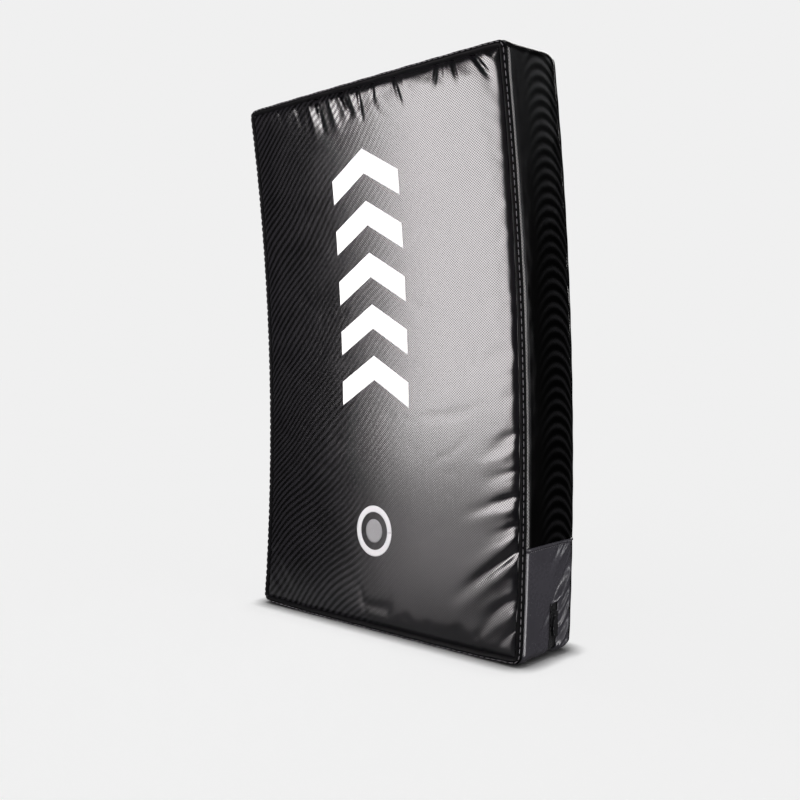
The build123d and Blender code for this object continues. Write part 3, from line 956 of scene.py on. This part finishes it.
def make_patch(name, z, middle_x, width):
    """An anchor patch, pressed to the cover at its stitched rim and slightly full inside it."""
    across, tall = PATCH_LENGTH / 2, width / 2 + PATCH_MARGIN
    x, v = np.meshgrid(np.linspace(-1, 1, 25), np.linspace(-1, 1, 33))
    sx, sv = x * across, v * tall
    over_x, over_v = np.abs(sx) - (across - PATCH_CORNER), np.abs(sv) - (tall - PATCH_CORNER)
    corner = (over_x > 0) & (over_v > 0)
    scale = np.where(corner, PATCH_CORNER / np.maximum(np.hypot(over_x, over_v), PATCH_CORNER), 1.0)
    sx = np.where(corner, np.sign(sx) * (across - PATCH_CORNER + over_x * scale), sx)
    sv = np.where(corner, np.sign(sv) * (tall - PATCH_CORNER + over_v * scale), sv)
    edge = np.minimum(1 - np.abs(x), 1 - np.abs(v)) * across
    height = 1.2 * MM + 0.9 * MM * np.clip(edge / (5 * MM), 0, 1) ** 0.5
    height = height - 0.5 * MM * bell((edge - 4 * MM) / MM)
    rows = zip(sx, sv, height)
    points = np.array([[on_back(z, middle_x + a, b, h) for a, b, h in zip(*row)] for row in rows])
    obj = mesh_object(name, points, quads(*x.shape)[:, ::-1], np.stack([sx, sv], axis=-1))
    edit_mesh(obj, outward_faces)
    thicken(obj, 1.3 * MM)
    return obj


def patch_stitches(z, middle_x, width, end):
    across, tall = PATCH_LENGTH / 2 - 3.6 * MM, width / 2 + PATCH_MARGIN - 3.6 * MM
    _, out, _ = back_frame(z)
    rim = [on_back(z, middle_x + a * across, b * tall, 2.1 * MM) for a, b in FOUR_CORNERS]
    ends = dashes(rim, True, 3.4 * MM, out)
    box_x, box_v = 11.5 * MM, width / 2 - 5 * MM
    level = WEB_MIDDLE + WEB_THICKNESS / 2 + 0.15 * MM
    box_middle = middle_x + end * 1.5 * MM
    box = [on_back(z, box_middle + a * box_x, b * box_v, level) for a, b in FOUR_CORNERS]
    for line, closed in ((box, True), (box[0::2], False), (box[1::2], False)):
        ends += dashes(line, closed, 3.0 * MM, out)
    return ends


def sleeve_stitches(z, half, rise, width):
    reach = SLEEVE_SPAN * half * 0.93
    x = np.linspace(-reach, reach, 60)
    height, normal = along_bow(half, rise, x)
    origin, out, up = back_frame(z)
    ends = []
    for side in (-1, 1):
        lift = 0.32 * SLEEVE_THICKNESS / 2 + 1.2 * MM
        rim = side * (width / 2 + 1.4 * MM) * up
        line = [origin + np.array([a + n[0] * lift, 0, 0]) + (h + n[1] * lift) * out + rim
                for a, h, n in zip(x, height, normal)]
        ends += dashes(line, False, 3.6 * MM, out)
    return ends


handle_pieces = []
for handle, (z, half, rise, width) in HANDLES.items():
    ends = []
    handle_pieces.append((make_webbing(handle, z, half, rise, width), [f"{handle}_webbing"], "webbing", None))
    handle_pieces.append((make_sleeve(handle, z, half, rise, width), [f"{handle}_sleeve"], "strap_pad", 0.8))
    for end_name, end in (("left", -1), ("right", 1)):
        patch_x = end * (half + TONGUE / 2)
        patch = make_patch(f"{handle}_anchor_{end_name}", z, patch_x, width)
        handle_pieces.append((patch, [f"{handle}_patch_{end_name}"], "anchor_patch", None))
        ends += patch_stitches(z, patch_x, width, end)
    ends += sleeve_stitches(z, half, rise, width)
    stitches = stitch_object(f"{handle}_stitches", ends, 0.42 * MM, 0.3 * MM)
    handle_pieces.append((stitches, [], "thread", None))


# ------------------------------------------------------------------ foam core
def make_foam(node, name):
    """The core's layer as the finished cover holds it."""
    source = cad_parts[node].data
    points = np.zeros(len(source.vertices) * 3, np.float32)
    source.vertices.foreach_get("co", points)
    mesh = source.copy()
    mesh.vertices.foreach_set("co", slump(points.reshape(-1, 3)).astype(np.float32).ravel())
    mesh.update()
    return new_object(name, mesh)


FOAM = {"core_strike_layer": "foam_firm", "core_middle_layer": "foam_soft", "core_back_layer": "foam_firm"}
foam_pieces = {node: make_foam(node, node.replace("core", "foam")) for node in FOAM}


# ------------------------------------------------------------------ materials
def feed(tree, made, inputs):
    """Sets a shader node's inputs to values, or links them to sockets."""
    for key, value in inputs.items():
        if isinstance(value, bpy.types.NodeSocket):
            tree.links.new(value, made.inputs[key])
        else:
            made.inputs[key].default_value = value


def node(tree, kind, inputs=None, **settings):
    """A shader node; inputs holds values or the sockets to link."""
    made = tree.nodes.new("ShaderNode" + kind)
    for key, value in settings.items():
        setattr(made, key, value)
    feed(tree, made, inputs or {})
    return made


def maths(tree, operation, a, b=0.0):
    return node(tree, "Math", {0: a, 1: b}, operation=operation).outputs[0]


def times(tree, a, b):
    return maths(tree, "MULTIPLY", a, b)


def plus(tree, a, b):
    return maths(tree, "ADD", a, b)


def split(tree, place):
    """The x, y and z of a place."""
    return node(tree, "SeparateXYZ", {0: place}).outputs


def remap(tree, value, low, high, new_low=0.0, new_high=1.0):
    """A value taken from low-to-high to new_low-to-new_high, and held at those ends."""
    limits = {"Value": value, "From Min": low, "From Max": high, "To Min": new_low, "To Max": new_high}
    return node(tree, "MapRange", limits).outputs[0]


def waves(tree, coordinate, pitch):
    """A sine of one coordinate with that pitch in metres."""
    return maths(tree, "SINE", times(tree, coordinate, 2 * math.pi / pitch))


def noise(tree, place, size, detail=3.0, rough=0.55):
    """Noise from 0 to 1 with features of about that size in metres."""
    inputs = {"Vector": place, "Scale": 1 / size, "Detail": detail, "Roughness": rough}
    return node(tree, "TexNoise", inputs).outputs["Fac"]


def plain_pattern(tree, place, pitch):
    return noise(tree, place, pitch, 2.0)


def weave_pattern(tree, place, pitch):
    """Raised dots on the slant, as on a woven-look embossed sheet."""
    axes = split(tree, place)
    return times(tree, waves(tree, axes[0], 1.13 * pitch), waves(tree, axes[1], 0.9 * pitch))


def face_painted_sheen(tree, place):
    """Painted sheen: slanting bands of the weave's moiré, painted into the strike panel's colour and specular
    and faded in towards the left, where no light is mirrored.
    """
    axes = split(tree, place)
    bend = times(tree, noise(tree, place, 0.22, 1.0), 0.09)
    slant = maths(tree, "SUBTRACT", axes[0], times(tree, axes[1], 1.1))
    fade = remap(tree, axes[0], 0.05, -0.06)
    return times(tree, waves(tree, plus(tree, slant, bend), 11.5 * MM), fade)


def side_painted_sheen_and_shade(tree, place):
    """Painted sheen and painted shade: bowed bands of the weave's moiré on the side strip's far half, and a
    darker colour and dimmer specular everywhere past the lip beside the front band, so only that lip stays
    glossy.
    """
    axes = split(tree, place)
    off = maths(tree, "SUBTRACT", axes[1], 58 * MM)
    bow = times(tree, times(tree, off, off), 24.0)
    fade = remap(tree, axes[1], 25 * MM, 60 * MM)
    rows = times(tree, waves(tree, plus(tree, axes[0], bow), 14 * MM), fade)
    # Painted shade: colour darkened and specular dimmed from 9 to 13 mm in, past the lip
    return maths(tree, "SUBTRACT", rows, remap(tree, axes[1], 9 * MM, 13 * MM, 0.0, 0.8))


def twill_pattern(tree, place, pitch):
    """Ribs along the tape with slanting threads across them."""
    axes = split(tree, place)
    ribs = maths(tree, "ABSOLUTE", waves(tree, axes[1], 2 * pitch))
    slant = waves(tree, plus(tree, axes[0], axes[1]), pitch * 0.7)
    return plus(tree, ribs, times(tree, slant, 0.4))


def grain_pattern(tree, place, pitch):
    """Pebbled grain: rounded cells with creases between them."""
    cells = node(tree, "TexVoronoi", {"Vector": place, "Scale": 1 / pitch, "Randomness": 0.9},
                 feature="SMOOTH_F1", distance="EUCLIDEAN")
    return maths(tree, "SUBTRACT", 1.0, cells.outputs["Distance"])


def thread_pattern(tree, place, pitch):
    """Twisted strands."""
    axes = split(tree, place)
    return waves(tree, plus(tree, plus(tree, axes[0], axes[1]), axes[2]), pitch)


def pore_pattern(tree, place, pitch):
    """Open cells of foam."""
    inputs = {"Vector": place, "Scale": 1 / pitch}
    return node(tree, "TexVoronoi", inputs, feature="DISTANCE_TO_EDGE").outputs["Distance"]


# How far the painted sheen bands shift the colour, and how far they shift the specular
RIB_PAINTED_SHEEN = 0.45
RIB_SHINE = 0.8
RAMP_STOPS = (0.3, 0.8)
ROUGH_SPREAD = 0.02
COAT_ROUGHNESS = 0.25


def make_material(name, colour, spread, roughness, pattern, pitch, depth, coordinate="UV", metallic=0.0,
                  specular=0.5, unevenness=0.0, uneven_size=0.03, coat=0.0, contrast=0.25, shadowed=0.3,
                  ribs=None, edge=0.0):
    """A material whose colour wanders by `spread`, with a fine relief and a broad unevenness. Its colour also
    follows the relief: the relief's hollows get a darker colour, a painted shade, and a dimmer specular; the
    optional rows add bands of painted sheen to colour and specular.

    pitch and depth belong to the relief and are in millimetres; the other lengths are in metres.
    """
    pitch, depth = pitch * MM, depth * MM
    material = bpy.data.materials.new(name)
    material.use_nodes = True
    tree = material.node_tree
    shader = tree.nodes["Principled BSDF"]
    place = node(tree, "TexCoord").outputs[coordinate]
    relief = pattern(tree, place, pitch)
    broad = noise(tree, place, 0.06, 4.0)
    fine = noise(tree, place, 0.004, 3.0)
    mixed = plus(tree, times(tree, broad, 0.65), times(tree, fine, 0.35))
    # Painted shade: the relief's hollows are given a darker colour
    shade = plus(tree, mixed, times(tree, relief, contrast))
    bright = relief
    # Painted sheen: the rows lighten and darken the colour in bands
    if ribs:
        rows = ribs(tree, place)
        shade = plus(tree, shade, times(tree, rows, RIB_PAINTED_SHEEN))
        bright = plus(tree, relief, times(tree, rows, RIB_SHINE))
    ramp = node(tree, "ValToRGB", {"Fac": shade})
    for stop, position, change in zip(ramp.color_ramp.elements, RAMP_STOPS, (1 - spread, 1 + spread)):
        stop.position = position
        stop.color = tuple(c * change for c in colour) + (1.0,)
    rough = remap(tree, mixed, 0.3, 0.7, roughness - ROUGH_SPREAD, roughness + ROUGH_SPREAD)
    cavity = remap(tree, bright, -0.7, 0.7, specular * (1 - shadowed), specular)
    uneven = noise(tree, place, uneven_size, 2.0)
    wide = node(tree, "Bump", {"Height": uneven, "Strength": 1.0, "Distance": unevenness})
    if edge:
        tree.links.new(node(tree, "Bevel", {"Radius": edge}).outputs[0], wide.inputs["Normal"])
    inputs = {"Height": relief, "Strength": 1.0, "Distance": depth, "Normal": wide.outputs[0]}
    feed(tree, shader, {
        "Base Color": ramp.outputs["Color"],
        "Roughness": rough,
        "Metallic": metallic,
        "Specular IOR Level": cavity,
        "Coat Weight": coat,
        "Coat Roughness": COAT_ROUGHNESS,
        "Normal": node(tree, "Bump", inputs).outputs[0],
    })
    return material


# Each material: colour, its spread, roughness, relief with its pitch and depth in mm, and the rest
# Painted shade in the relief's hollows: how much darker they are drawn, for woven and printed pieces
WOVEN = {"uneven_size": 0.05, "contrast": 0.4}
PRINTED = {"unevenness": 0.2 * MM, "contrast": 0.1}
RECIPES = {
    # pu_woven carries the painted sheen bands on the left of the strike panel
    "pu_woven": ((0.0037, 0.0035, 0.0043), 0.97, 0.17, weave_pattern, 3.45, 0.032,
        dict(**WOVEN, unevenness=0.15 * MM, specular=0.6, shadowed=0.7, ribs=face_painted_sheen)),
    # The side copy of the woven sheet: painted sheen bands on its far half, painted shade past its lip
    "pu_woven_side_painted_shade": ((0.0042, 0.0040, 0.0046), 0.95, 0.24, weave_pattern, 3.45, 0.07,
        dict(**WOVEN, unevenness=0.15 * MM, specular=0.6, shadowed=0.95, ribs=side_painted_sheen_and_shade)),
    "pu_woven_back": ((0.0075, 0.0073, 0.0080), 0.9, 0.24, weave_pattern, 3.45, 0.05,
        dict(**WOVEN, unevenness=0.2 * MM, specular=0.5)),
    "pu_smooth": ((0.038, 0.0365, 0.043), 0.25, 0.27, grain_pattern, 1.1, 0.04, dict(unevenness=0.2 * MM)),
    "binding_tape": ((0.0016, 0.0016, 0.0019), 0.25, 0.50, grain_pattern, 0.9, 0.02,
        dict(unevenness=0.25 * MM, uneven_size=0.012, specular=0.04)),
    "zip_tape": ((0.004, 0.004, 0.0045), 0.3, 0.75, twill_pattern, 0.7, 0.12, {}),
    "zip_coil": ((0.014, 0.014, 0.015), 0.2, 0.28, plain_pattern, 2.0, 0.02, dict(coordinate="Object")),
    "zip_metal": ((0.050, 0.050, 0.053), 0.3, 0.22, plain_pattern, 1.2, 0.01,
        dict(coordinate="Object", metallic=0.8, coat=0.6, edge=0.5 * MM)),
    "webbing": ((0.014, 0.014, 0.015), 0.3, 0.62, twill_pattern, 1.7, 0.25, {}),
    "strap_pad": ((0.014, 0.013, 0.014), 0.25, 0.45, grain_pattern, 1.3, 0.06, dict(unevenness=0.8 * MM)),
    "anchor_patch": ((0.020, 0.019, 0.020), 0.25, 0.42, grain_pattern, 1.2, 0.06, dict(unevenness=0.4 * MM)),
    "print_white": ((0.72, 0.72, 0.72), 0.06, 0.42, weave_pattern, 3.4, 0.02, PRINTED),
    "print_pale": ((0.42, 0.42, 0.43), 0.08, 0.42, weave_pattern, 3.4, 0.02, PRINTED),
    "print_grey": ((0.16, 0.16, 0.165), 0.08, 0.42, weave_pattern, 3.4, 0.02, PRINTED),
    "thread": ((0.13, 0.125, 0.135), 0.3, 0.38, thread_pattern, 0.6, 0.08, dict(coordinate="Object")),
    "foam_firm": ((0.03, 0.03, 0.032), 0.3, 0.9, pore_pattern, 0.8, 0.3, dict(coordinate="Object")),
    "foam_soft": ((0.30, 0.29, 0.26), 0.2, 0.95, pore_pattern, 1.6, 0.6, dict(coordinate="Object")),
}
MATERIALS = {name: make_material(name, *values, **rest) for name, (*values, rest) in RECIPES.items()}


def dress(obj, material):
    """Gives an object its material."""
    obj.data.materials.clear()
    obj.data.materials.append(MATERIALS[material])


def soft_piece(obj, nodes, material, fill=None, slot=None):
    """Dresses a piece, lets it ride on the shield and stand for its CAD nodes."""
    dress(obj, material)
    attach(obj, "shield")
    if nodes:
        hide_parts(*nodes)


# Each piece: the CAD node that it stands for, its material, its fill and its slot
for piece, node_name, *look in (
    (front_panel, "front_panel", "pu_woven", 0.95),
    (back_panel, "back_panel", "pu_woven_back", 0.95, "pu_woven"),
    (upper_boxing, "upper_boxing", "pu_woven_side_painted_shade", 0.9, "pu_woven"),
    (lower_boxing, "lower_boxing", "pu_smooth", 0.85),
    (front_band, "front_binding", "binding_tape"),
    (back_band, "back_binding", "binding_tape"),
    (front_stitches, None, "thread", None, "binding_tape"),
    (seam_thread, None, "thread", None, "binding_tape"),
    (back_stitches, None, "thread", None, "binding_tape"),
    (chevrons, "mark_chevrons", "print_white"),
    (roundels["roundel_ring_print"], "mark_roundel_ring", "print_pale"),
    (roundels["roundel_disc_print"], "mark_roundel_disc", "print_grey"),
):
    soft_piece(piece, [node_name] if node_name else [], *look)
for piece, node_name, material in zip_pieces:
    soft_piece(piece, [node_name], material)
for piece, nodes, material, fill in handle_pieces:
    soft_piece(piece, nodes, material, fill, slot=None if nodes else "binding_tape")
for node_name, piece in foam_pieces.items():
    soft_piece(piece, [node_name], FOAM[node_name], 1.0)
for node_name in ("zipper_slider", "zipper_pull", "zipper_stop_left", "zipper_stop_right"):
    dress(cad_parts[node_name], "zip_metal")

# ------------------------------------------------------------------ floor, backdrop and light
BACKDROP = 0.871
FLOOR_COLOUR = 0.95
FLOOR_REACH = 12.0
FILL_DIFFUSE = 0.10
FILL_GLOSSY = 0.05
SUN_STRENGTH = 0.45
SUN_ANGLE = math.radians(6)
SUN_TURN = (math.radians(-1.3), math.radians(-0.1), 0)
# Painted contact shadow on the floor: how far it reaches and how sharply it darkens
PAINTED_SHADOW_REACH = 0.025
PAINTED_SHADOW_POWER = 3.2
FLOOR_GLOW = BACKDROP - FLOOR_COLOUR * (FILL_DIFFUSE + SUN_STRENGTH / math.pi)


def make_floor():
    """A pale floor that glows as the backdrop does, with a painted contact shadow: ambient occlusion dims its
    glow where something stands on it.
    """
    points = [(a * FLOOR_REACH, b * FLOOR_REACH, 0) for a, b in FOUR_CORNERS]
    floor = mesh_object("studio_floor", points, [[0, 1, 2, 3]], smooth=False)
    material = bpy.data.materials.new("studio_floor")
    material.use_nodes = True
    tree = material.node_tree
    tree.nodes.clear()
    place = node(tree, "TexCoord").outputs["Object"]
    tint = remap(tree, noise(tree, place, 0.4), 0.0, 1.0, 0.995, 1.005)
    diffuse = node(tree, "BsdfDiffuse", {"Color": (FLOOR_COLOUR,) * 3 + (1,)})
    # Painted shadow: ambient occlusion near the pieces dims the floor's glow
    unshadowed = node(tree, "AmbientOcclusion", {"Distance": PAINTED_SHADOW_REACH}, samples=16).outputs["AO"]
    level = times(tree, tint, maths(tree, "POWER", unshadowed, PAINTED_SHADOW_POWER))
    glow = node(tree, "Emission", {"Color": (FLOOR_GLOW,) * 3 + (1,), "Strength": level})
    both = node(tree, "AddShader", {0: diffuse.outputs[0], 1: glow.outputs[0]})
    node(tree, "OutputMaterial", {"Surface": both.outputs[0]})
    floor.data.materials.append(material)
    floor.visible_glossy = False
    floor.visible_diffuse = False


def mix_shaders(tree, share, first, second):
    inputs = {"Fac": share, 1: first.outputs[0], 2: second.outputs[0]}
    return node(tree, "MixShader", inputs)


def make_world():
    """A backdrop of one tone for the camera, and weak even light for the pieces."""
    world = bpy.data.worlds.new("studio")
    SCENE.world = world
    world.use_nodes = True
    tree = world.node_tree
    tree.nodes.clear()
    path = node(tree, "LightPath").outputs
    seen = node(tree, "Background", {"Color": (BACKDROP,) * 3 + (1,), "Strength": 1.0})
    fill = node(tree, "Background", {"Color": (1, 1, 1, 1), "Strength": FILL_DIFFUSE})
    mirror = node(tree, "Background", {"Color": (1, 1, 1, 1), "Strength": FILL_GLOSSY})
    soft = mix_shaders(tree, path["Is Glossy Ray"], fill, mirror)
    both = mix_shaders(tree, path["Is Camera Ray"], soft, seen)
    node(tree, "OutputWorld", {"Surface": both.outputs[0]})


def object_collection():
    """The shield's own pieces, so that the soft lights leave the floor even."""
    group = bpy.data.collections.new("lit_pieces")
    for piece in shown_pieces():
        group.objects.link(piece)
    return group


def area_light(name, place, target, size, power, colour):
    """A soft light for the pieces only."""
    data = bpy.data.lights.new(name, "AREA")
    data.shape = "RECTANGLE"
    data.size, data.size_y = size
    data.energy = power
    data.color = colour
    light = new_object(name, data)
    light.location = place
    light.rotation_euler = (Vector(target) - Vector(place)).to_track_quat("-Z", "Y").to_euler()
    light.light_linking.receiver_collection = LIT_PIECES
    light.visible_camera = False


def make_sun():
    data = bpy.data.lights.new("overhead_sun", "SUN")
    data.energy = SUN_STRENGTH
    data.angle = SUN_ANGLE
    new_object("overhead_sun", data).rotation_euler = SUN_TURN


make_world()
LIT_PIECES = object_collection()
make_floor()
make_sun()
# Each light: place, what it is aimed at, size, power, colour
LIGHTS = {
    "front_left_softbox": ((-0.412, -0.844, 0.53), (0.208, -0.179, 0.53), (0.50, 0.70),
        17.2, (1.0, 0.955, 0.965)),
    "low_softbox": ((-0.412, -0.844, 0.11), (0.208, -0.179, 0.11), (0.50, 0.30),
        1.7, (1.0, 0.955, 0.965)),
    "floor_bounce": ((-0.12, -0.27, 0.004), (-0.12, -0.27, 1.0), (0.75, 0.34),
        0.22, (1, 1, 1)),
    "fold_light": ((1.4, 0.35, 0.42), (HALF_WIDTH, 0, 0.06), (0.35, 0.35),
        2.5, (0.98, 0.98, 1.0)),
    "lip_strip": ((1.35, -0.64, 0.35), (HALF_WIDTH, FRONT_Y, 0.35), (0.3, 1.5),
        22, (1.0, 0.98, 0.99)),
    "right_back_light": ((1.05, 0.85, 1.05), (HALF_WIDTH, 0, 0.6), (0.34, 0.5),
        0.8, (0.96, 0.98, 1.0)),
    "back_softbox": ((-0.75, 1.45, 0.95), (0, 0, 0.35), (1.4, 1.2),
        26, (1.0, 0.98, 0.97)),
}
for light_name, values in LIGHTS.items():
    area_light(light_name, *values)

SCENE.view_settings.view_transform = "Standard"
SCENE.view_settings.look = "None"
